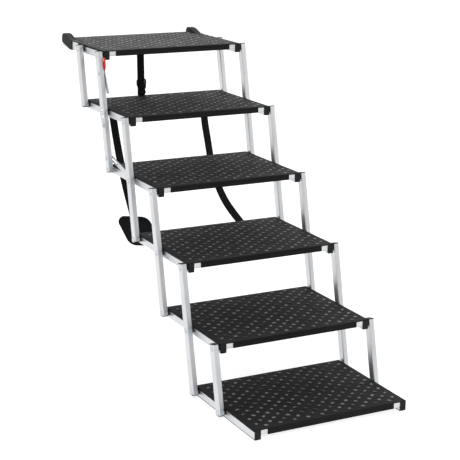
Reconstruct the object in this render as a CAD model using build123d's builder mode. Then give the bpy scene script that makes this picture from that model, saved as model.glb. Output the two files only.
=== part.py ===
from build123d import *
import math
import os

os.makedirs("parts", exist_ok=True)

# Folding pet steps: six level treads joined by parallel links, opened to a stair.
# Millimetres. +X runs across the treads, +Y from the lowest tread to the highest, +Z up.
# The origin is on the ground, under the middle of the whole object.

STEPS = 6
TREAD_W = 400.0       # over the two side rails
TREAD_D = 300.0       # over the front and rear mat flaps
RUN = 171.0           # from one tread's front edge to the next one's, opened
LINK_PITCH = 150.0    # between neighbouring pivots on a link
PIVOT_INSET = 11.0    # first and last pivot from the tread's front and rear
REAR_REACH = 312.0    # rear of the rubber boots from the top tread's front

MAT_T = 2.0
FLAP_T = 1.5
RAIL_W = 15.0
RAIL_H = 22.0
RAIL_WALL = 1.5
CROSS = 13.0
PLUG_T = 3.0
FOOT_T = 1.5
DECK_T = 3.0

GAP = 4.0             # between the side rails and the links
LINK_W = 14.0
LINK_D = 22.0
LINK_WALL = 1.6
LINK_TOP = 9.5        # tube above its top pivot
LINK_LOW = 4.5        # tube below its lowest pivot
FLAP_H = 15.5         # front and rear flaps, from the mat's top
FLAP_HALF = 167.0
CAP_T = 2.0
BOLT_R = 3.0
PIN_PLAY = 0.05       # radial play of a bolt in a rail
OPEN_PLAY = 0.3       # radial play where the closed linkage is opened

WEB_W = 22.0
WEB_T = 2.2
CORD_D = 8.0

PIVOT_PITCH = (TREAD_D - 2 * PIVOT_INSET) / 2
LEAN = math.asin((RUN - PIVOT_PITCH) / LINK_PITCH)
RISE = LINK_PITCH * math.cos(LEAN)
LOWEST_TOP = FOOT_T + RAIL_H + MAT_T
FRONT_Y = -((STEPS - 1) * RUN + REAR_REACH) / 2
RAIL_X = TREAD_W / 2 - RAIL_W / 2
RAIL_MID = MAT_T + RAIL_H / 2
INNER_X = TREAD_W / 2 - RAIL_W
LINK_IN = TREAD_W / 2 + GAP
LINK_X = LINK_IN + LINK_W / 2
LINK_OUT = LINK_IN + LINK_W

# Link: top tread, its pivot there (0 front, 1 middle, 2 rear), number of pivots.
LINKS = {"a": (6, 0, 3), "b": (5, 0, 3), "c": (4, 0, 3), "d": (3, 0, 3), "e": (2, 0, 2), "f": (6, 1, 2)}


def step_y(k):
    """Front of tread k, counted from 1 at the bottom."""
    return FRONT_Y + (k - 1) * RUN


def step_z(k):
    """Top of tread k's mat."""
    return LOWEST_TOP + (k - 1) * RISE


def pivot(k, i):
    """Pivot i of tread k, as (y, z)."""
    return (step_y(k) + PIVOT_INSET + i * PIVOT_PITCH, step_z(k) - RAIL_MID)


def link_pivots(name):
    """Every pivot on a link, from its top end down."""
    top, first, count = LINKS[name]
    return [pivot(top - j, first + j) for j in range(count)]


def on_link(name, down, ahead):
    """A point on a link's side: a distance below its top pivot and ahead of its axis."""
    y, z = link_pivots(name)[0]
    y = y - down * math.sin(LEAN) - ahead * math.cos(LEAN)
    z = z - down * math.cos(LEAN) + ahead * math.sin(LEAN)
    return (y, z)


def across(y):
    """Upright plane across the treads; sketches take (x, z), extrusions go to -Y."""
    return Plane(origin=(0, y, 0), x_dir=(1, 0, 0), z_dir=(0, -1, 0))


def beside(x):
    """Upright plane along the treads; sketches take (y, z), extrusions go to +X."""
    return Plane(origin=(x, 0, 0), x_dir=(0, 1, 0), z_dir=(1, 0, 0))


def link_plane(name, down):
    """Plane square to a link, facing up it, a distance below its top pivot."""
    y, z = on_link(name, down, 0)
    return Plane(origin=(LINK_X, y, z), x_dir=(1, 0, 0), z_dir=(0, math.sin(LEAN), math.cos(LEAN)))


def step_pivots(k):
    """Pivots that carry a link on tread k: running ones, then the opened one."""
    running = [pivot(k, i) for i in (0, 1) if not (k == 1 and i == 0)]
    opened = [pivot(k, 2)] if k < STEPS else []
    return running, opened


# Treads: two side rails, two cross rails, a deck, a rubber mat and end plugs each.
for k in range(1, STEPS + 1):
    y = step_y(k)
    z = step_z(k)
    rear_plug = k < STEPS
    rail_end = TREAD_D - PLUG_T if rear_plug else REAR_REACH - 5
    running, opened = step_pivots(k)

    with BuildPart() as side_rails:
        with BuildSketch(across(y + rail_end)):
            with Locations((RAIL_X, z - RAIL_MID)):
                RectangleRounded(RAIL_W, RAIL_H, 2.0)
                RectangleRounded(RAIL_W - 2 * RAIL_WALL, RAIL_H - 2 * RAIL_WALL, 0.8, mode=Mode.SUBTRACT)
        extrude(amount=rail_end - PLUG_T)
        with BuildSketch(beside(TREAD_W / 2 - 2 * RAIL_WALL)):
            with Locations(*running):
                Circle(BOLT_R + PIN_PLAY)
            for point in opened:
                with Locations(point):
                    Circle(BOLT_R + OPEN_PLAY)
        extrude(amount=3 * RAIL_WALL, mode=Mode.SUBTRACT)
        mirror(about=Plane.YZ)
    side_rails.part.label = f"step{k}_side_rails"
    export_step(side_rails.part, f"parts/step{k}_side_rails.step")

    with BuildPart() as cross_rails:
        with BuildSketch(beside(-INNER_X)):
            cross_z = z - MAT_T - CROSS / 2
            with Locations((y + FLAP_T + CROSS / 2, cross_z), (y + TREAD_D - FLAP_T - CROSS / 2, cross_z)):
                RectangleRounded(CROSS, CROSS, 1.5)
                RectangleRounded(CROSS - 2 * RAIL_WALL, CROSS - 2 * RAIL_WALL, 0.6, mode=Mode.SUBTRACT)
        extrude(amount=2 * INNER_X)
    cross_rails.part.label = f"step{k}_cross_rails"
    export_step(cross_rails.part, f"parts/step{k}_cross_rails.step")

    with BuildPart() as deck:
        with BuildSketch(Plane.XY.offset(z - MAT_T - DECK_T)):
            with Locations((0, y + TREAD_D / 2)):
                Rectangle(2 * INNER_X, TREAD_D - 2 * FLAP_T - 2 * CROSS)
        extrude(amount=DECK_T)
    deck.part.label = f"step{k}_deck"
    export_step(deck.part, f"parts/step{k}_deck.step")

    side_flap = TREAD_D if rear_plug else 190.0
    with BuildPart() as mat:
        with BuildSketch(Plane.XY.offset(z - MAT_T)):
            with Locations((0, y + TREAD_D / 2)):
                RectangleRounded(TREAD_W + 2.4, TREAD_D, 3.0)
            if not rear_plug:
                with Locations((193, y + 245), (-193, y + 245)):
                    Rectangle(24, 110, mode=Mode.SUBTRACT)
        extrude(amount=MAT_T)
        with BuildSketch(Plane.XY.offset(z - 5.5)):
            with Locations((TREAD_W / 2 + 0.6, y + side_flap / 2), (-TREAD_W / 2 - 0.6, y + side_flap / 2)):
                Rectangle(1.2, side_flap - 6)
        extrude(amount=5.5 - MAT_T)
        with BuildSketch(Plane.XY.offset(z - FLAP_H)):
            with Locations((0, y + FLAP_T / 2), (0, y + TREAD_D - FLAP_T / 2)):
                Rectangle(2 * FLAP_HALF, FLAP_T)
        extrude(amount=FLAP_H - MAT_T)
    mat.part.label = f"step{k}_mat"
    export_step(mat.part, f"parts/step{k}_mat.step")

    with BuildPart() as end_plugs:
        with BuildSketch(across(y + PLUG_T)):
            with Locations((RAIL_X, z - RAIL_MID)):
                RectangleRounded(RAIL_W, RAIL_H, 2.0)
        extrude(amount=PLUG_T)
        with BuildSketch(across(y + PLUG_T + 2.5)):
            with Locations((RAIL_X, z - RAIL_MID)):
                RectangleRounded(RAIL_W - 2 * RAIL_WALL, RAIL_H - 2 * RAIL_WALL, 0.8)
        extrude(amount=2.5)
        if rear_plug:
            mirror(about=Plane.XZ.offset(-(y + TREAD_D / 2)))
        mirror(about=Plane.YZ)
    end_plugs.part.label = f"step{k}_end_plugs"
    export_step(end_plugs.part, f"parts/step{k}_end_plugs.step")


# Rubber strips under the lowest tread's side rails.
with BuildPart() as foot_strips:
    with BuildSketch(Plane.XY):
        with Locations((RAIL_X, step_y(1) + TREAD_D / 2), (-RAIL_X, step_y(1) + TREAD_D / 2)):
            Rectangle(RAIL_W - 2, TREAD_D - 2 * PLUG_T)
    extrude(amount=FOOT_T)
foot_strips.part.label = "foot_strips"
export_step(foot_strips.part, "parts/foot_strips.step")


# Rubber boots over the rear ends of the top tread's side rails, each with a tongue along the rail.
top_y = step_y(STEPS)
top_z = step_z(STEPS)
BOOT_SIDE = [(235, -26), (258, -26), (312, -13), (312, 4), (303, 13), (283, 12), (262, 5), (246, 0), (235, 0)]
with BuildPart() as boots:
    with BuildSketch(beside(RAIL_X - RAIL_W / 2 - 2)):
        with BuildLine():
            Polyline(*[(top_y + y, top_z + z) for y, z in BOOT_SIDE], close=True)
        make_face()
    extrude(amount=RAIL_W + 4)
    fillet(boots.edges().filter_by(Axis.X).sort_by(Axis.Y)[-5:], radius=4)
    fillet(boots.faces().sort_by(Axis.X)[-1].edges().sort_by(Axis.Y)[3:], radius=2)
    with BuildSketch(across(top_y + REAR_REACH - 5)):
        with Locations((RAIL_X, top_z - RAIL_MID)):
            RectangleRounded(RAIL_W, RAIL_H, 2.0)
    extrude(amount=REAR_REACH - 5 - 235, mode=Mode.SUBTRACT)
    with BuildSketch(Plane.XY.offset(top_z - MAT_T - CROSS)):
        with Locations((INNER_X - 1.5, top_y + 266)):
            Rectangle(3, 66)
    extrude(amount=CROSS, mode=Mode.SUBTRACT)
    with BuildSketch(Plane.XY.offset(top_z - MAT_T)):
        with Locations((RAIL_X, top_y + 215)):
            Rectangle(RAIL_W, 40)
    extrude(amount=MAT_T)
    mirror(about=Plane.YZ)
boots.part.label = "boots"
export_step(boots.part, "parts/boots.step")


# Links: a pair of tubes each, with end caps, spacers against the rails, and bolts.
LEVER_PIVOT = on_link("a", 47.8, 5.6)
STAY_BOLT = on_link("a", 2 * LINK_PITCH - 31.4, 0)
for name in LINKS:
    points = link_pivots(name)
    length = (len(points) - 1) * LINK_PITCH
    left_only = [LEVER_PIVOT, STAY_BOLT] if name == "a" else []

    with BuildPart() as link:
        with BuildSketch(link_plane(name, length + LINK_LOW)):
            RectangleRounded(LINK_W, LINK_D, 3.0)
            RectangleRounded(LINK_W - 2 * LINK_WALL, LINK_D - 2 * LINK_WALL, 1.4, mode=Mode.SUBTRACT)
        extrude(amount=length + LINK_TOP + LINK_LOW)
        with BuildSketch(beside(LINK_IN - 1)):
            with Locations(*points):
                Circle(BOLT_R)
        extrude(amount=LINK_W + 2, mode=Mode.SUBTRACT)
        mirror(about=Plane.YZ)
        for point in left_only:
            with BuildSketch(beside(-LINK_OUT - 1)):
                with Locations(point):
                    Circle(BOLT_R)
            extrude(amount=LINK_W + 2, mode=Mode.SUBTRACT)
    link.part.label = f"link_{name}"
    export_step(link.part, f"parts/link_{name}.step")

    with BuildPart() as caps:
        with BuildSketch(link_plane(name, -LINK_TOP)):
            RectangleRounded(LINK_W, LINK_D, 3.0)
        extrude(amount=CAP_T)
        with BuildSketch(link_plane(name, -LINK_TOP + 5)):
            RectangleRounded(LINK_W - 2 * LINK_WALL, LINK_D - 2 * LINK_WALL, 1.4)
        extrude(amount=5)
        with BuildSketch(link_plane(name, length + LINK_LOW + CAP_T)):
            RectangleRounded(LINK_W, LINK_D, 3.0)
        extrude(amount=CAP_T)
        with BuildSketch(link_plane(name, length + LINK_LOW)):
            RectangleRounded(LINK_W - 2 * LINK_WALL, LINK_D - 2 * LINK_WALL, 1.4)
        extrude(amount=1.3)
        mirror(about=Plane.YZ)
        with BuildSketch(beside(TREAD_W / 2 + 0.3)):
            with Locations(*points):
                Circle(6.5)
                Circle(BOLT_R, mode=Mode.SUBTRACT)
        extrude(amount=GAP - 0.3)
        left_spacers = [p for p in points if (name, p) not in (("b", pivot(4, 1)), ("a", pivot(4, 2)))]
        with BuildSketch(beside(-LINK_IN)):
            with Locations(*left_spacers):
                Circle(6.5)
                Circle(BOLT_R, mode=Mode.SUBTRACT)
        extrude(amount=GAP - 0.3)
    caps.part.label = f"link_{name}_caps"
    export_step(caps.part, f"parts/link_{name}_caps.step")

    with BuildPart() as bolts:
        with BuildSketch(beside(TREAD_W / 2 - RAIL_WALL - 3)):
            with Locations(*points):
                Circle(BOLT_R)
        extrude(amount=LINK_OUT - TREAD_W / 2 + RAIL_WALL + 3)
        with BuildSketch(beside(TREAD_W / 2 - RAIL_WALL - 3.3)):
            with Locations(*points):
                RegularPolygon(5.2, 6)
        extrude(amount=3)
        with BuildSketch(beside(LINK_OUT)):
            with Locations(*points):
                Circle(6.5)
        extrude(amount=2.2)
        fillet(bolts.faces().filter_by(Plane.YZ).group_by(Axis.X)[-1].edges(), radius=1.5)
        mirror(about=Plane.YZ)
        for point in left_only:
            inner = -LINK_IN + 2.4 if point == LEVER_PIVOT else -LINK_IN
            with BuildSketch(beside(-LINK_OUT)):
                with Locations(point):
                    Circle(BOLT_R)
            extrude(amount=LINK_OUT + inner)
            with BuildSketch(beside(-LINK_OUT - 1.8)):
                with Locations(point):
                    Circle(5)
            extrude(amount=1.8)
    bolts.part.label = f"link_{name}_bolts"
    export_step(bolts.part, f"parts/link_{name}_bolts.step")


# Opening stop on the left side: a slotted flat stay from tread 4's middle pivot to a bolt on link a.
STAY_X = -LINK_IN + 0.4
stay_start = pivot(4, 1)
stay_reach = math.dist(stay_start, STAY_BOLT)
stay_angle = math.atan2(STAY_BOLT[1] - stay_start[1], STAY_BOLT[0] - stay_start[0])


def along_stay(distance):
    """A point on the stay's centre line, from tread 4's middle pivot."""
    return (stay_start[0] + distance * math.cos(stay_angle), stay_start[1] + distance * math.sin(stay_angle))


with BuildPart() as stop_stay:
    with BuildSketch(beside(STAY_X)):
        with Locations(along_stay((stay_reach + 3) / 2)):
            SlotCenterToCenter(stay_reach + 3, 14, rotation=math.degrees(stay_angle))
        with Locations(along_stay(stay_reach - 20)):
            SlotCenterToCenter(40, 6.4, rotation=math.degrees(stay_angle), mode=Mode.SUBTRACT)
        with Locations(stay_start):
            Circle(BOLT_R + PIN_PLAY, mode=Mode.SUBTRACT)
    extrude(amount=2)
stop_stay.part.label = "stop_stay"
export_step(stop_stay.part, "parts/stop_stay.step")


# Short plate on link a's outer left face, below tread 5's middle pivot.
plate_top = on_link("a", LINK_PITCH - 8, -5)
plate_low = on_link("a", LINK_PITCH + 31.4, 3)
plate_mid = ((plate_top[0] + plate_low[0]) / 2, (plate_top[1] + plate_low[1]) / 2)
plate_angle = math.degrees(math.atan2(plate_top[1] - plate_low[1], plate_top[0] - plate_low[0]))
with BuildPart() as stop_plate:
    with BuildSketch(beside(-LINK_OUT - 1.5)):
        with Locations(plate_mid):
            SlotCenterToCenter(math.dist(plate_top, plate_low), 15, rotation=plate_angle)
        with Locations(pivot(5, 1)):
            Circle(6.5, mode=Mode.SUBTRACT)
    extrude(amount=1.5)
    with BuildSketch(beside(-LINK_OUT - 3)):
        with Locations(plate_low):
            Circle(4.5)
    extrude(amount=1.5)
stop_plate.part.label = "stop_plate"
export_step(stop_plate.part, "parts/stop_plate.step")


# Locking lever in the gap beside link a, below the top tread, and its release tab.
LEVER_TILT = math.degrees(LEAN) + 14.7


def on_lever(up, ahead):
    """A point on the lever: a distance above its pivot and ahead of its centre line."""
    tilt = math.radians(LEVER_TILT)
    y = LEVER_PIVOT[0] + up * math.sin(tilt) - ahead * math.cos(tilt)
    z = LEVER_PIVOT[1] + up * math.cos(tilt) + ahead * math.sin(tilt)
    return (y, z)


with BuildPart() as lock_lever:
    with BuildSketch(beside(STAY_X)):
        with Locations(on_lever(-10, 0)):
            SlotCenterToCenter(77, 13, rotation=90 - LEVER_TILT)
        with Locations(LEVER_PIVOT):
            Circle(BOLT_R + PIN_PLAY, mode=Mode.SUBTRACT)
    extrude(amount=2)
lock_lever.part.label = "lock_lever"
export_step(lock_lever.part, "parts/lock_lever.step")

tab_outline = [
    on_lever(6, 6.5),
    on_lever(20, 6.5),
    on_link("a", 9, 10.5),
    on_link("a", 6.5, 14),
    on_link("a", 7.5, 19),
    on_link("a", 20, 20),
    on_link("a", 31, 18.5),
    on_link("a", 38, 14),
]
with BuildPart() as release_tab:
    with BuildSketch(beside(STAY_X)):
        with BuildLine():
            Polyline(*tab_outline, close=True)
        make_face()
    extrude(amount=2)
release_tab.part.label = "release_tab"
export_step(release_tab.part, "parts/release_tab.step")


# Retaining strap from under the top tread to the rear of the tread below, with its adjuster.
STRAP_X = -36.0
strap_top = (top_y + 150.0, top_z - MAT_T - DECK_T)
strap_low = (step_y(5) + TREAD_D + 2.2, step_z(5) - 17)
with BuildPart() as tie_strap:
    with BuildSketch(beside(STRAP_X - WEB_W / 2)):
        with BuildLine():
            Polyline(
                (strap_top[0] - WEB_T / 2, strap_top[1]),
                (strap_top[0] + WEB_T / 2, strap_top[1]),
                (strap_low[0] + WEB_T / 2, strap_low[1]),
                (strap_low[0] - WEB_T / 2, strap_low[1]),
                close=True,
            )
        make_face()
    extrude(amount=WEB_W)
tie_strap.part.label = "tie_strap"
export_step(tie_strap.part, "parts/tie_strap.step")

adjuster_z = step_z(5) + 33
strap_slope = (strap_top[0] - strap_low[0]) / (strap_top[1] - strap_low[1])
adjuster_y = strap_low[0] + (adjuster_z - strap_low[1]) * strap_slope
with BuildPart() as strap_adjuster:
    with BuildSketch(beside(STRAP_X - 14)):
        with Locations((adjuster_y, adjuster_z)):
            RectangleRounded(8, 22, 2)
    extrude(amount=28)
    add(tie_strap.part, mode=Mode.SUBTRACT)
strap_adjuster.part.label = "strap_adjuster"
export_step(strap_adjuster.part, "parts/strap_adjuster.step")


# Carrying strap, hanging in a loop from the rear of tread 5, and its shoulder pad.
def cord_radii(points):
    """Largest tangent radius that each corner of a route allows."""
    radii = []
    for a, b, c in zip(points, points[1:], points[2:]):
        before = Vector(*b) - Vector(*a)
        after = Vector(*c) - Vector(*b)
        turn = math.radians(before.get_angle(after))
        radii.append(0.45 * min(before.length, after.length) / math.tan(turn / 2))
    return radii


ROUTE_LEFT = [
    (-128, 404, 587),
    (-126, 393, 540),
    (-124, 366, 465),
    (-121, 336, 392),
    (-117, 306, 333),
    (-109, 283, 274),
]
ROUTE_RIGHT = [
    (-88, 280, 246),
    (-40, 279, 206),
    (16, 274, 172),
    (82, 268, 152),
    (148, 262, 146),
    (204, 258, 154),
    (230, 256, 182),
    (228, 257, 222),
    (198, 270, 262),
    (173, 298, 306),
    (160, 328, 356),
    (157, 360, 412),
    (159, 386, 470),
    (155, 403, 530),
    (152, 404, 587),
]
with BuildPart() as carry_strap:
    total = 0
    for route in (ROUTE_LEFT, ROUTE_RIGHT):
        radii = cord_radii(route)
        print("carry_strap radii", [round(r) for r in radii])
        with BuildLine() as path:
            FilletPolyline(*route, radius=radii)
        with BuildSketch(Plane(origin=path.line @ 0, z_dir=path.line % 0)):
            Circle(CORD_D / 2)
        sweep(path=path.line)
        total = total + path.wire().length
ratio = carry_strap.part.volume / (total * math.pi * CORD_D**2 / 4)
print("carry_strap tube length", round(total), "volume ratio", ratio)
carry_strap.part.label = "carry_strap"
export_step(carry_strap.part, "parts/carry_strap.step")

with BuildPart() as shoulder_pad:
    with BuildSketch(across(287)):
        with Locations((-102, 258)):
            RectangleRounded(140, 78, 34, rotation=-36)
    extrude(amount=14)
    fillet(shoulder_pad.edges().filter_by(Plane.XZ), radius=5)
shoulder_pad.part.label = "shoulder_pad"
export_step(shoulder_pad.part, "parts/shoulder_pad.step")
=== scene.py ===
import bpy
import math
import numpy as np
from mathutils import Matrix, Vector


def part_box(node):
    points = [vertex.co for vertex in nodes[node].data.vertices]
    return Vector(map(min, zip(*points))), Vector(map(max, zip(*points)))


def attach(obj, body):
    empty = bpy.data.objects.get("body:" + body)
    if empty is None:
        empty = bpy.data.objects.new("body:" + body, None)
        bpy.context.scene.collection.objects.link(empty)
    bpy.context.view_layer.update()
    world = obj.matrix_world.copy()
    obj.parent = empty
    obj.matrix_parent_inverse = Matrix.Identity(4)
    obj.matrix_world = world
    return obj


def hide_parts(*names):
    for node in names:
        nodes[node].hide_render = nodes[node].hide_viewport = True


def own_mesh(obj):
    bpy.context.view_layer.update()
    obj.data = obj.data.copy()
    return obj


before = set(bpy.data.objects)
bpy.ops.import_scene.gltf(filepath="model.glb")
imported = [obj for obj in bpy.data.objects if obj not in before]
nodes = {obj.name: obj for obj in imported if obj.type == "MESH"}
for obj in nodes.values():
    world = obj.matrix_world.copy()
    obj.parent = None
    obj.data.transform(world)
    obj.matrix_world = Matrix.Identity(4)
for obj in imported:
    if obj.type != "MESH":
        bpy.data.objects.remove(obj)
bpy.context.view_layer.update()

# Camera: a long lens, a little above the top tread, ahead of the stair and to its left.
# It is turned 27.3 degrees from straight ahead, looks 15.2 degrees down, and leans half a degree.
turn, tilt, roll = math.radians(27.306), math.radians(15.163), 0.00983
camera_place = Vector((-1.5240, -3.0176, 1.2345))
right = Vector((math.cos(turn), -math.sin(turn), 0))
back = Vector((-math.sin(turn) * math.cos(tilt), -math.cos(turn) * math.cos(tilt), math.sin(tilt)))
up = back.cross(right)
side = right * math.cos(roll) + up * math.sin(roll)
top = up * math.cos(roll) - right * math.sin(roll)
camera_data = bpy.data.cameras.new("camera")
camera_data.lens = 106.0
camera_data.sensor_width = 36
camera_data.clip_end = 60
camera = bpy.data.objects.new("camera", camera_data)
camera.matrix_world = Matrix((
    (side.x, top.x, back.x, camera_place.x),
    (side.y, top.y, back.y, camera_place.y),
    (side.z, top.z, back.z, camera_place.z),
    (0, 0, 0, 1),
))
bpy.context.scene.collection.objects.link(camera)
bpy.context.scene.camera = camera


# Carrying strap: flat woven polyester webbing, 22 mm wide, in one long loop from the rear rail
# of the second tread from the top. It hangs under its own weight and twists at the bottom.
def put(name, points, faces, uv=None, smooth=True):
    """One object at the origin from its points and faces; uv is one pair for each point."""
    mesh = bpy.data.meshes.new(name)
    places = np.asarray(points, float).reshape(-1, 3).tolist()
    mesh.from_pydata(places, [], [list(map(int, f)) for f in faces])
    if uv is not None:
        layer = mesh.uv_layers.new(name="UVMap")
        corner = np.zeros(len(mesh.loops), np.int32)
        mesh.loops.foreach_get("vertex_index", corner)
        layer.data.foreach_set("uv", np.asarray(uv, np.float32)[corner].ravel())
    if smooth:
        mesh.polygons.foreach_set("use_smooth", np.ones(len(mesh.polygons), bool))
    piece = bpy.data.objects.new(name, mesh)
    bpy.context.scene.collection.objects.link(piece)
    return piece


def tube_faces(rings, around, closed=False):
    """Quads between rings of points; an open tube gets a cap at each end."""
    i = np.arange(rings if closed else rings - 1)[:, None]
    j = np.arange(around)[None, :]
    a = i * around + j
    b = i * around + (j + 1) % around
    c = ((i + 1) % rings) * around + (j + 1) % around
    d = ((i + 1) % rings) * around + j
    faces = np.stack([a, b, c, d], -1).reshape(-1, 4).tolist()
    if not closed:
        faces.append(list(range(around))[::-1])
        faces.append(list(range((rings - 1) * around, rings * around)))
    return faces


def smooth_route(name, points):
    """Points along a smooth line that the given points pull into shape, evenly spaced."""
    curve = bpy.data.curves.new(name, "CURVE")
    curve.dimensions = "3D"
    line = curve.splines.new("NURBS")
    line.points.add(len(points) - 1)
    for point, place in zip(line.points, points):
        point.co = (*place, 1)
    line.order_u = 3
    line.use_endpoint_u = True
    line.resolution_u = 24
    holder = bpy.data.objects.new(name, curve)
    bpy.context.scene.collection.objects.link(holder)
    mesh = bpy.data.meshes.new_from_object(holder)
    out = np.array([v.co for v in mesh.vertices])
    bpy.data.objects.remove(holder)
    bpy.data.meshes.remove(mesh)
    far = np.concatenate([[0], np.cumsum(np.linalg.norm(np.diff(out, axis=0), axis=1))])
    even = np.linspace(0, far[-1], max(8, int(far[-1] / 0.006)))
    return np.stack([np.interp(even, far, out[:, a]) for a in range(3)], 1)


def webbing_band(name, path, width, thick, across):
    """Flat webbing: a lens-edged section carried along a path, its width along the given
    directions made square to the path. Its UV map is in metres, across and along."""
    ahead = np.gradient(path, axis=0)
    ahead /= np.linalg.norm(ahead, axis=1)[:, None]
    wide = across - (across * ahead).sum(1)[:, None] * ahead
    wide /= np.linalg.norm(wide, axis=1)[:, None]
    face = np.cross(ahead, wide)
    s = np.array([-1, -0.94, -0.5, 0, 0.5, 0.94, 1, 0.94, 0.5, 0, -0.5, -0.94])
    t = np.array([0, 0.42, 0.5, 0.5, 0.5, 0.42, 0, -0.42, -0.5, -0.5, -0.5, -0.42])
    ring = path[:, None] + wide[:, None] * (s * width / 2)[None, :, None]
    ring = ring + face[:, None] * (t * thick)[None, :, None]
    along = np.concatenate([[0], np.cumsum(np.linalg.norm(np.diff(path, axis=0), axis=1))])
    uv = np.stack(np.broadcast_arrays(s[None, :] * width / 2, along[:, None]), -1).reshape(-1, 2)
    return put(name, ring, tube_faces(len(path), len(s)), uv)


def new_material(name, color, rough, metal=0.0):
    """A Principled material with its constant values on the shader's own sockets."""
    material = bpy.data.materials.new(name)
    material.use_nodes = True
    shader = material.node_tree.nodes["Principled BSDF"]
    shader.inputs["Base Color"].default_value = (*color, 1)
    shader.inputs["Roughness"].default_value = rough
    shader.inputs["Metallic"].default_value = metal
    return material, material.node_tree, shader


def node(tree, kind, values=None, **links):
    """A node with its settings, its named input values and its linked inputs."""
    made = tree.nodes.new(kind)
    for key, value in (values or {}).items():
        if hasattr(made, key):
            setattr(made, key, value)
        else:
            made.inputs[key].default_value = value
    for key, source in links.items():
        tree.links.new(source, made.inputs[key.replace("_", " ")])
    return made


def tinted(tree, shader, amount, low, high, dark, light):
    """The base colour runs from dark to light as amount goes from low to high."""
    ramp = tree.nodes.new("ShaderNodeValToRGB")
    ramp.color_ramp.elements[0].position = low
    ramp.color_ramp.elements[0].color = (*dark, 1)
    ramp.color_ramp.elements[1].position = high
    ramp.color_ramp.elements[1].color = (*light, 1)
    tree.links.new(amount, ramp.inputs["Fac"])
    tree.links.new(ramp.outputs["Color"], shader.inputs["Base Color"])


def bumped(tree, shader, height, strength, distance):
    """A bump from a height signal."""
    bump = tree.nodes.new("ShaderNodeBump")
    bump.inputs["Strength"].default_value = strength
    bump.inputs["Distance"].default_value = distance
    tree.links.new(height, bump.inputs["Height"])
    tree.links.new(bump.outputs["Normal"], shader.inputs["Normal"])


def woven_webbing(name, color):
    """Ribbed tape: fine ribs across it, crossed by slanted yarns, with a soft sheen."""
    material, tree, shader = new_material(name, color, 0.72)
    shader.inputs["Specular IOR Level"].default_value = 0.15
    shader.inputs["Sheen Weight"].default_value = 0.03
    shader.inputs["Sheen Roughness"].default_value = 0.4
    place = node(tree, "ShaderNodeTexCoord")
    rib_values = {"bands_direction": "Y", "Scale": 230.0, "Distortion": 1.2, "Detail Scale": 40.0}
    yarn_values = {"bands_direction": "DIAGONAL", "Scale": 150.0, "Distortion": 0.6}
    ribs = node(tree, "ShaderNodeTexWave", rib_values, Vector=place.outputs["UV"])
    yarns = node(tree, "ShaderNodeTexWave", yarn_values, Vector=place.outputs["UV"])
    both = node(tree, "ShaderNodeMath", {"operation": "MULTIPLY"})
    tree.links.new(ribs.outputs["Fac"], both.inputs[0])
    tree.links.new(yarns.outputs["Fac"], both.inputs[1])
    lighter = tuple(c * 3 + 0.003 for c in color)
    tinted(tree, shader, both.outputs[0], 0.1, 0.9, color, lighter)
    bumped(tree, shader, both.outputs[0], 0.6, 0.0004)
    return material


webbing = woven_webbing("webbing", (0.0035, 0.0035, 0.004))
strap_points = [
    (-0.128, 0.404, 0.587),
    (-0.126, 0.393, 0.540),
    (-0.124, 0.366, 0.465),
    (-0.121, 0.336, 0.392),
    (-0.117, 0.306, 0.333),
    (-0.109, 0.283, 0.274),
    (-0.088, 0.280, 0.246),
    (-0.040, 0.279, 0.206),
    (0.016, 0.274, 0.172),
    (0.082, 0.268, 0.152),
    (0.148, 0.262, 0.146),
    (0.204, 0.258, 0.154),
    (0.230, 0.256, 0.182),
    (0.228, 0.257, 0.222),
    (0.198, 0.270, 0.262),
    (0.173, 0.298, 0.306),
    (0.160, 0.328, 0.356),
    (0.157, 0.360, 0.412),
    (0.159, 0.386, 0.470),
    (0.155, 0.403, 0.530),
    (0.152, 0.404, 0.587),
]
strap_path = smooth_route("strap_line", strap_points)
share = np.linspace(0, 1, len(strap_path))
facing = np.stack([
    np.zeros(len(share)),
    np.interp(share, [0, 0.4, 0.52, 0.62, 0.72, 1], [-1, -1, -0.75, -0.8, -1, -1]),
    np.interp(share, [0, 0.4, 0.52, 0.62, 0.72, 1], [0, 0, 0.66, 0.6, 0.1, 0]),
], 1)
strap_across = np.cross(facing, np.gradient(strap_path, axis=0))
carry_strap = webbing_band("carrying_strap", strap_path, 0.022, 0.0016, strap_across)
carry_strap.data.materials.append(webbing)
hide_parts("carry_strap")
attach(carry_strap, "step_5")


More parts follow.
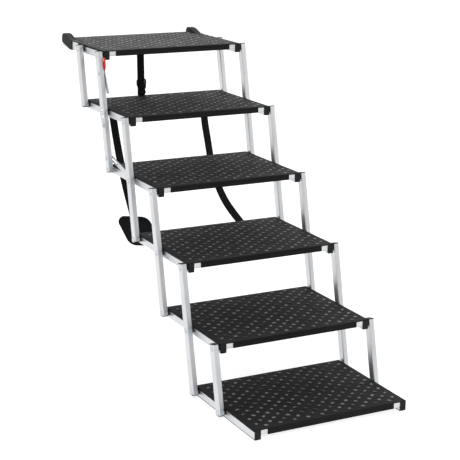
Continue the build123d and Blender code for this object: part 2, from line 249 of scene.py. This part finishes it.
# Shoulder pad: a flat foam sleeve on the strap, covered in black knitted fabric, with a
# stitched border. It is wide in the middle and tapers to rounded ends, and hangs slanted.
def pad_shell(name, centre, reach, belly, tip, thick_half, slant):
    """Rings from the rim to the middle on both faces; the crown falls off near the rim,
    with a sewn groove just inside the border. The outline wraps a round middle and two ends."""
    around, rings = 120, 22
    angle = np.linspace(0, 2 * np.pi, 1441)
    at_end = reach * np.abs(np.cos(angle)) + tip > belly
    ox = np.where(at_end, np.sign(np.cos(angle)) * reach + tip * np.cos(angle), belly * np.cos(angle))
    oz = np.where(at_end, tip, belly) * np.sin(angle)
    far = np.concatenate([[0], np.cumsum(np.hypot(np.diff(ox), np.diff(oz)))])
    even = np.linspace(0, far[-1], around, endpoint=False)
    ex, ez = np.interp(even, far, ox), np.interp(even, far, oz)
    r = np.concatenate([np.linspace(0.02, 0.8, rings - 10), np.linspace(0.84, 1, 10)])
    crown = np.sqrt(np.clip(1 - r ** 6, 0, 1)) * (0.86 + 0.14 * (1 - r ** 2))
    crown -= 0.30 * np.exp(-((r - 0.88) / 0.03) ** 2)
    crown[-1] = 0
    shells = []
    for face in (-1, 1):
        x = r[:, None] * ex[None]
        z = r[:, None] * ez[None]
        y = face * thick_half * crown[:, None] * np.ones(around)[None]
        bow = 0.6 * x ** 2 + 0.0012 * np.sin(x * 70 + z * 25) * (1 - r[:, None] ** 2)
        shells.append(np.stack([x, y + bow, z], -1))
    points = np.concatenate([shells[0], shells[1][::-1][1:]]).reshape(-1, 3)
    total = 2 * rings - 1
    faces = tube_faces(total, around)
    c, s = math.cos(slant), math.sin(slant)
    along, through, over = points.T
    turned = np.stack([along * c + over * s, through, -along * s + over * c], 1)
    uv = points[:, [0, 2]]
    return put(name, turned + np.asarray(centre), faces, uv)


def knit(name, color):
    """Spacer knit: small staggered cells that are a little lighter on their ridges."""
    material, tree, shader = new_material(name, color, 0.85)
    shader.inputs["Specular IOR Level"].default_value = 0.15
    shader.inputs["Sheen Weight"].default_value = 0.03
    place = node(tree, "ShaderNodeTexCoord")
    cell_values = {"feature": "F1", "Scale": 420.0, "Randomness": 0.35}
    cells = node(tree, "ShaderNodeTexVoronoi", cell_values, Vector=place.outputs["UV"])
    ridge, hollow = tuple(c * 1.9 for c in color), tuple(c * 0.6 for c in color)
    tinted(tree, shader, cells.outputs["Distance"], 0.0, 0.8, ridge, hollow)
    bumped(tree, shader, cells.outputs["Distance"], 0.5, 0.0005)
    return material


pad = pad_shell("shoulder_pad_cover", (-0.102, 0.280, 0.258), 0.055, 0.041, 0.015, 0.0066, math.radians(36))
pad.data.materials.append(knit("pad_knit", (0.004, 0.004, 0.0045)))
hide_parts("shoulder_pad")
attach(pad, "step_5")
for piece in (carry_strap, pad):
    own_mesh(piece)


# Retaining strap: the same webbing, pulled straight between the top tread's deck and the rear
# of the next tread, with a ladder-lock adjuster and a short doubled tail below it.
tie_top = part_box("tie_strap")[1]
tie_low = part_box("tie_strap")[0]
way = np.linspace(0, 1, 34)[:, None]
tie_ends = np.array([[-0.033, tie_top.y - 0.0012, tie_top.z], [-0.039, tie_low.y + 0.0012, tie_low.z]])
tie_path = tie_ends[0] + (tie_ends[1] - tie_ends[0]) * way
tie_band = webbing_band("retaining_strap", tie_path, 0.0215, 0.0015, np.tile([1.0, 0, 0], (len(way), 1)))
tie_band.data.materials.append(webbing)
lock_low, lock_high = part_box("strap_adjuster")
lock = np.array((lock_low + lock_high) / 2)
tail_share = np.linspace(0, 1, 26)
tail_path = np.stack([
    lock[0] + 0.001 - 0.003 * tail_share,
    lock[1] - 0.0035 - 0.0045 * np.sin(tail_share * 2.6 * np.pi) ** 2 - 0.001 * tail_share,
    lock[2] - 0.004 - 0.040 * tail_share,
], 1)
tail = webbing_band("strap_tail", tail_path, 0.0205, 0.0015, np.tile([1.0, 0, 0.12], (len(tail_share), 1)))
tail.data.materials.append(webbing)
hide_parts("tie_strap")


def moulded(name, color, rough=0.5, grain=900.0):
    """Moulded plastic: a fine spark-eroded grain and slightly uneven gloss."""
    material, tree, shader = new_material(name, color, rough)
    place = node(tree, "ShaderNodeTexCoord")
    shader.inputs["Specular IOR Level"].default_value = 0.2
    spot = place.outputs["Object"]
    grains = node(tree, "ShaderNodeTexNoise", {"Scale": grain, "Detail": 3.0}, Vector=spot)
    patches = node(tree, "ShaderNodeTexNoise", {"Scale": 35.0, "Detail": 4.0}, Vector=spot)
    darker, lighter = tuple(c * 0.8 for c in color), tuple(c * 1.3 for c in color)
    tinted(tree, shader, patches.outputs["Fac"], 0.3, 0.7, darker, lighter)
    span = {"To Min": rough - 0.08, "To Max": rough + 0.1}
    gloss = node(tree, "ShaderNodeMapRange", span, Value=patches.outputs["Fac"])
    tree.links.new(gloss.outputs["Result"], shader.inputs["Roughness"])
    bumped(tree, shader, grains.outputs["Fac"], 0.25, 0.0003)
    return material


def bar_loop(centre, half_x, half_z, thick_x, thick_y):
    """A closed bar of rounded section carried round an oblong frame."""
    angle = np.linspace(0, 2 * np.pi, 48, endpoint=False)
    power = 2 / 5.0
    x = half_x * np.sign(np.cos(angle)) * np.abs(np.cos(angle)) ** power
    z = half_z * np.sign(np.sin(angle)) * np.abs(np.sin(angle)) ** power
    path = np.stack([x, np.zeros_like(x), z], 1)
    out = path / np.linalg.norm(path, axis=1)[:, None]
    section = np.linspace(0, 2 * np.pi, 12, endpoint=False)
    ring = path[:, None] + out[:, None] * (np.cos(section) * thick_x / 2)[None, :, None]
    ring = ring + np.array([0, 1, 0])[None, None] * (np.sin(section) * thick_y / 2)[None, :, None]
    return (ring + np.asarray(centre)).reshape(-1, 3), tube_faces(48, 12, closed=True)


black_plastic = moulded("black_plastic", (0.005, 0.005, 0.0055), 0.45)
frame_points, frame_faces = bar_loop(lock, 0.0124, 0.0096, 0.0044, 0.0056)
parts = [frame_points]
faces = list(frame_faces)
for lift, depth in ((0.0026, 0.0), (-0.0034, -0.0012)):
    span = np.linspace(-0.0125, 0.0125, 8)
    section = np.linspace(0, 2 * np.pi, 10, endpoint=False)
    bar = np.stack([
        np.broadcast_to(span[:, None], (8, 10)),
        np.broadcast_to(depth - 0.0022 + np.cos(section) * 0.0013, (8, 10)),
        np.broadcast_to(lift + np.sin(section) * 0.0017, (8, 10)),
    ], -1) + lock
    start = sum(len(p) for p in parts)
    faces += [[i + start for i in f] for f in tube_faces(8, 10)]
    parts.append(bar.reshape(-1, 3))
ladder_lock = put("ladder_lock", np.concatenate(parts), faces)
ladder_lock.data.materials.append(black_plastic)
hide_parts("strap_adjuster")
for piece in (tie_band, tail, ladder_lock):
    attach(piece, "step_6")
    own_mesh(piece)


# Tread mats: dense black rubber matting with rows of raised oval grains, glued to the deck.
# It rolls over the sides, and a doubled flap hangs over the front and rear rails.
GRAIN_RISE = 0.0016
MESH_STEP = 0.00165
ROLL = 0.002
FLAP_HALF = 0.167
NOTCH_START, NOTCH_HALF = 0.190, 0.181
NOTCHED_SIDE_END = 0.187


def edge_steps(half, inner_step, edge):
    """Positions from -half to half, evenly spaced inside and closer together at the rolled edge."""
    inside = np.linspace(-(half - edge), half - edge, int(2 * (half - edge) / inner_step) + 1)
    rim = half - edge + edge * np.sin(np.linspace(0, np.pi / 2, 5)[1:])
    return np.concatenate([-rim[::-1], inside, rim])


def grain_height(x, y):
    """Height of the raised grains, 0 to 1: two staggered families of ovals, slanted opposite ways."""
    pitch_x, pitch_y = 0.0182, 0.0149
    high = np.zeros_like(x)
    for family, slant in ((0, 0.7), (1, -0.7)):
        for odd in (0, 1):
            column = 2 * np.round((x / pitch_x - family) / 2) + family
            row = np.round(y / pitch_y)
            row = row + ((row + family) % 2 != 0) * np.where(y / pitch_y > row, 1, -1) * odd
            fits = (row + family) % 2 == 0
            dx, dy = x - column * pitch_x, y - row * pitch_y
            a = dx * math.cos(slant) + dy * math.sin(slant)
            b = -dx * math.sin(slant) + dy * math.cos(slant)
            bump = np.clip(1 - (a / 0.0062) ** 2 - (b / 0.0046) ** 2, 0, 1) ** 0.7
            high = np.maximum(high, np.where(fits, bump, 0))
    return high


def mat_sheet(half, depth, notch=None):
    """Top skin of a mat and its flat underside. Its half width narrows behind the notch, and
    the skin turns down to the underside along a 2 mm rolled edge."""
    u = edge_steps(half, MESH_STEP, ROLL)
    v = edge_steps(depth / 2, MESH_STEP, ROLL) + depth / 2
    y = np.broadcast_to(v[:, None], (len(v), len(u)))
    wide = np.full(len(v), half)
    if notch:
        start, narrow = notch
        ease = np.clip((v - start + 0.004) / 0.008, 0, 1)
        wide = half - (half - narrow) * (3 * ease ** 2 - 2 * ease ** 3)
    rim = half - np.abs(u)
    x = np.sign(u) * (wide[:, None] - rim[None] * wide[:, None] / half)
    x = np.where(rim[None] < 0.0021, np.sign(u) * (wide[:, None] - rim[None]), x)
    inset = np.minimum(np.minimum(np.broadcast_to(rim[None], x.shape), y), depth - y)
    drop = ROLL * (1 - np.sqrt(np.clip(1 - (1 - np.clip(inset / ROLL, 0, 1)) ** 2, 0, 1)))
    clear = np.minimum(np.minimum(wide[:, None] - np.abs(x), y), depth - y)
    high = grain_height(x, y - depth / 2) * np.clip((clear - 0.004) / 0.003, 0, 1)
    z = GRAIN_RISE * high - drop
    points = np.stack([x, y, z], -1)
    rows, columns = x.shape
    i = np.arange(rows - 1)[:, None] * columns + np.arange(columns - 1)[None]
    quads = np.stack([i, i + 1, i + 1 + columns, i + columns], -1).reshape(-1, 4).tolist()
    border = np.concatenate([
        np.arange(columns), np.arange(2, rows) * columns - 1,
        rows * columns - 1 - np.arange(columns), np.arange(rows - 2, 0, -1) * columns,
    ])
    quads.append(border[::-1].tolist())
    return points.reshape(-1, 3), quads, high.ravel()


def strip(profile, start, end, steps):
    """A closed profile carried along a straight line; the profile gives its two other axes."""
    way = np.linspace(0, 1, steps)[:, None, None]
    ring = np.asarray(profile)[None] + np.asarray(start)[None, None] * (1 - way)
    ring = ring + np.asarray(end)[None, None] * way
    return ring.reshape(-1, 3), tube_faces(steps, len(profile))


def flap_profile(outward):
    """A doubled flap, seen from the end: two rounded bands with a groove between them."""
    z = np.array([-0.0006, -0.002, -0.0042, -0.0062, -0.0071, -0.0079, -0.0088, -0.0115, -0.0143, -0.0155])
    y = np.array([0.0010, 0.0001, -0.0001, 0.0001, 0.0007, 0.0007, 0.0000, -0.0002, 0.0000, 0.0006])
    front = np.stack([np.zeros(10), outward * y, z], 1)
    rear = np.stack([np.zeros(2), outward * np.array([0.0014, 0.0014]), np.array([-0.0153, -0.0019])], 1)
    loop = np.concatenate([front, rear])
    return loop if outward > 0 else loop[::-1]


rubber_mat, tree, shader = new_material("rubber_mat", (0.005, 0.005, 0.006), 0.55)
shader.inputs["Specular IOR Level"].default_value = 0.22
place = node(tree, "ShaderNodeTexCoord")
# Painted highlight: the base colour turns light on the raised grain tops, scaled by a patchy low-frequency
# noise, in place of the lamps' glints on the grains. A fine random fleck noise adds to the same mix.
raised = node(tree, "ShaderNodeAttribute", {"attribute_name": "raised"})
fleck_values = {"Scale": 700.0, "Detail": 4.0, "Roughness": 0.7}
fleck = node(tree, "ShaderNodeTexNoise", fleck_values, Vector=place.outputs["Object"])
cloud = node(tree, "ShaderNodeTexNoise", {"Scale": 18.0, "Detail": 3.0}, Vector=place.outputs["Object"])
uneven_highlight_noise = node(tree, "ShaderNodeTexNoise", {"Scale": 75.0, "Detail": 1.0}, Vector=place.outputs["Object"])
highlight_patch_range = {"From Min": 0.35, "From Max": 0.68, "To Max": 1.1}
painted_highlight_patches = node(tree, "ShaderNodeMapRange", highlight_patch_range, Value=uneven_highlight_noise.outputs["Fac"])
grain_highlight_and_fleck = node(tree, "ShaderNodeMath", {"operation": "MULTIPLY_ADD"})
tree.links.new(raised.outputs["Fac"], grain_highlight_and_fleck.inputs[0])
tree.links.new(painted_highlight_patches.outputs["Result"], grain_highlight_and_fleck.inputs[1])
tree.links.new(fleck.outputs["Fac"], grain_highlight_and_fleck.inputs[2])
# Painted highlight: dark rubber colour that runs to light grey on the grain tops where the patchy noise is
# high.
tinted(tree, shader, grain_highlight_and_fleck.outputs[0], 0.64, 1.6, (0.0016, 0.0016, 0.0019), (0.13, 0.132, 0.138))
gloss = node(tree, "ShaderNodeMath", {"operation": "MULTIPLY_ADD"})
tree.links.new(raised.outputs["Fac"], gloss.inputs[0])
gloss.inputs[1].default_value = -0.40
dull = node(tree, "ShaderNodeMapRange", {"To Min": 0.62, "To Max": 0.78}, Value=cloud.outputs["Fac"])
tree.links.new(dull.outputs["Result"], gloss.inputs[2])
tree.links.new(gloss.outputs[0], shader.inputs["Roughness"])
bumped(tree, shader, fleck.outputs["Fac"], 0.35, 0.0005)

for k in range(1, 7):
    low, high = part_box(f"step{k}_mat")
    depth = high.y - low.y
    half = (high.x - low.x) / 2
    points, faces, raised_by = mat_sheet(half, depth, (NOTCH_START, NOTCH_HALF) if k == 6 else None)
    pieces = [points]
    heights = [raised_by]
    for outward, where in ((1, 0.0), (-1, depth)):
        more, quads = strip(flap_profile(outward), (-FLAP_HALF, where, 0), (FLAP_HALF, where, 0), 40)
        start = sum(len(p) for p in pieces)
        faces += [[i + start for i in f] for f in quads]
        pieces.append(more)
        heights.append(np.zeros(len(more)))
    side_end = NOTCHED_SIDE_END if k == 6 else depth - 0.003
    for hand in (-1, 1):
        x = hand * (half - np.array([0.0012, 0.0005, 0.0, 0.0, 0.0004, 0.0012]))
        z = np.array([-0.0015, -0.0012, -0.002, -0.0048, -0.0055, -0.0055])
        loop = np.stack([x, np.zeros(6), z], 1)
        more, quads = strip(loop if hand < 0 else loop[::-1], (0, 0.003, 0), (0, side_end, 0), 30)
        start = sum(len(p) for p in pieces)
        faces += [[i + start for i in f] for f in quads]
        pieces.append(more)
        heights.append(np.zeros(len(more)))
    place_at = np.array([0, low.y, high.z])
    mat = put(f"tread_mat_{k}", np.concatenate(pieces) + place_at, faces)
    attribute = mat.data.attributes.new("raised", "FLOAT", "POINT")
    attribute.data.foreach_set("value", np.concatenate(heights).astype(np.float32))
    mat.data.materials.append(rubber_mat)
    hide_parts(f"step{k}_mat")
    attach(mat, f"step_{k}")


# Rails and links: extruded aluminium tube, blasted and clear anodised, so it is pale and satin,
# with faint lines drawn along each bar.
def drawn_aluminium(name, along, color=(0.64, 0.655, 0.67)):
    """Satin metal with fine lines along one direction, and soft uneven patches."""
    material, tree, shader = new_material(name, color, 0.36, 1.0)
    place = node(tree, "ShaderNodeTexCoord")
    turned = node(tree, "ShaderNodeMapping", {"vector_type": "POINT"}, Vector=place.outputs["Object"])
    turned.inputs["Rotation"].default_value = along[0]
    turned.inputs["Scale"].default_value = along[1]
    line_values = {"Scale": 1.0, "Detail": 4.0, "Roughness": 0.6}
    patch_values = {"Scale": 14.0, "Detail": 5.0}
    lines = node(tree, "ShaderNodeTexNoise", line_values, Vector=turned.outputs["Vector"])
    patches = node(tree, "ShaderNodeTexNoise", patch_values, Vector=place.outputs["Object"])
    darker, lighter = tuple(c * 0.93 for c in color), tuple(min(1, c * 1.05) for c in color)
    tinted(tree, shader, patches.outputs["Fac"], 0.3, 0.75, darker, lighter)
    gloss = node(tree, "ShaderNodeMapRange", {"To Min": 0.26, "To Max": 0.46}, Value=lines.outputs["Fac"])
    tree.links.new(gloss.outputs["Result"], shader.inputs["Roughness"])
    bumped(tree, shader, lines.outputs["Fac"], 0.10, 0.0003)
    return material


def finish(name, material):
    """A CAD piece takes this material on every slot."""
    piece = nodes[name]
    piece.data.materials.clear()
    piece.data.materials.append(material)


rail_metal = drawn_aluminium("rail_aluminium", ((0, 0, 0), (900, 9, 900)))
cross_metal = drawn_aluminium("cross_rail_aluminium", ((0, 0, 0), (9, 900, 900)))
link_metal = drawn_aluminium("link_aluminium", ((math.radians(12.3), 0, 0), (900, 900, 9)))
deck_board = moulded("deck_board", (0.022, 0.022, 0.024), 0.6, 500.0)
for k in range(1, 7):
    finish(f"step{k}_side_rails", rail_metal)
    finish(f"step{k}_cross_rails", cross_metal)
    finish(f"step{k}_deck", deck_board)
    finish(f"step{k}_end_plugs", black_plastic)


# Links: their tubes, black push-in caps and washers, and zinc-plated dome-headed bolts.
# The bolts pass through each link, a washer and one wall of the rail.
zinc, tree, shader = new_material("zinc_plate", (0.66, 0.67, 0.69), 0.34, 1.0)
place = node(tree, "ShaderNodeTexCoord")
spangle = node(tree, "ShaderNodeTexVoronoi", {"Scale": 500.0}, Vector=place.outputs["Object"])
tinted(tree, shader, spangle.outputs["Distance"], 0.0, 0.9, (0.70, 0.71, 0.73), (0.52, 0.53, 0.56))
bumped(tree, shader, spangle.outputs["Distance"], 0.08, 0.0003)
for letter in "abcdef":
    finish(f"link_{letter}", link_metal)
    finish(f"link_{letter}_caps", black_plastic)
    finish(f"link_{letter}_bolts", zinc)


# Opening stop and lock: flat zinc-plated bars on the left side, and a red release tab.
red_plastic = moulded("red_tab", (0.62, 0.035, 0.02), 0.42)
finish("stop_stay", zinc)
finish("stop_plate", zinc)
finish("lock_lever", zinc)
finish("release_tab", red_plastic)


# Rubber boots on the rear ends of the top tread's rails, and strips under the lowest tread.
soft_rubber = moulded("soft_rubber", (0.004, 0.004, 0.0045), 0.62, 450.0)
finish("boots", soft_rubber)
finish("foot_strips", soft_rubber)


# Studio: a white surround that is dimmer in front of the stair, so the metal has some contrast,
# a lit white floor that keeps only faint shadows, and three broad soft lamps.
floor = put("floor", [(-9, -7, 0), (9, -7, 0), (9, 12, 0), (-9, 12, 0)], [(0, 1, 2, 3)], smooth=False)
floor.location.z = -0.0005
white, tree, shader = new_material("white_floor", (0.3, 0.3, 0.3), 0.8)
shader.inputs["Emission Color"].default_value = (1, 1, 1, 1)
shader.inputs["Emission Strength"].default_value = 0.82
floor.data.materials.append(white)
world = bpy.data.worlds.new("studio")
world.use_nodes = True
world.node_tree.nodes["Background"].inputs["Color"].default_value = (1, 1, 1, 1)
ways = node(world.node_tree, "ShaderNodeTexCoord")
parts = node(world.node_tree, "ShaderNodeSeparateXYZ", Vector=ways.outputs["Generated"])
front_to_rear = {"From Min": -1.0, "From Max": 0.1, "To Min": 0.62, "To Max": 1.06}
dimmer = node(world.node_tree, "ShaderNodeMapRange", front_to_rear, Value=parts.outputs["Y"])
surround = world.node_tree.nodes["Background"]
world.node_tree.links.new(dimmer.outputs["Result"], surround.inputs["Strength"])
bpy.context.scene.world = world
bpy.context.scene.view_settings.view_transform = "Standard"
for name, spot, aim, size, power in (
    ("key", (-2.2, -2.6, 3.4), (0, 0, 0.4), 2.0, 70),
    ("fill", (2.8, -2.2, 2.0), (0, 0, 0.4), 2.5, 15),
    ("rear", (0.6, 3.0, 2.6), (0, 0, 0.4), 2.5, 30),
):
    lamp_data = bpy.data.lights.new(name, "AREA")
    lamp_data.size = size
    lamp_data.energy = power
    lamp = bpy.data.objects.new(name, lamp_data)
    lamp.location = spot
    lamp.rotation_euler = (Vector(aim) - Vector(spot)).to_track_quat("-Z", "Y").to_euler()
    bpy.context.scene.collection.objects.link(lamp)
